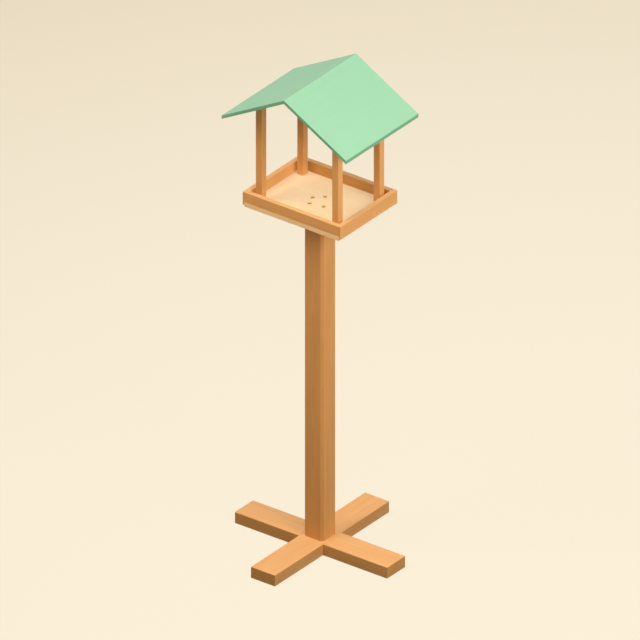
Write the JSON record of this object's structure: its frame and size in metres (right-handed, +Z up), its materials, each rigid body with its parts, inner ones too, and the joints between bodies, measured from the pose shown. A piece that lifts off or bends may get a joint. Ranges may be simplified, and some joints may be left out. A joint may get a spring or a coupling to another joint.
{
  "type": "bird table",
  "caption": "Free-standing garden bird table: a rimmed plywood feeding tray under a gabled roof on slim posts, on a square bevelled post with a half-lapped cross base.",
  "frame": {"origin": "on the ground, on the axis of the square post, at the middle of the cross base", "axes": "+Z up; +X along the longer side of the tray, from the front view's left to its right; +Y to the back, along the ridge of the roof"},
  "size_m": [0.6, 0.6, 1.69],
  "materials": {
    "timber": "satin",
    "plywood": "matte",
    "roof_paint": "satin",
    "brass": "satin"
  },
  "bodies": {
    "root": {"cross_board_x": "timber", "cross_board_y": "timber", "post": "timber", "tray_floor": "plywood", "rim_front": "timber", "rim_back": "timber", "rim_left": "timber", "rim_right": "timber", "roof_post_front_left": "timber", "roof_post_front_right": "timber", "roof_post_back_left": "timber", "roof_post_back_right": "timber", "roof_board_left": "roof_paint", "roof_board_right": "roof_paint", "floor_screw_1": "brass", "floor_screw_2": "brass", "floor_screw_3": "brass", "floor_screw_4": "brass", "roof_post_screw_front_left": "brass", "roof_post_screw_front_right": "brass", "roof_post_screw_back_left": "brass", "roof_post_screw_back_right": "brass", "base_screw_1": "brass", "base_screw_2": "brass", "base_screw_3": "brass", "base_screw_4": "brass"}
  },
  "joints": []
}
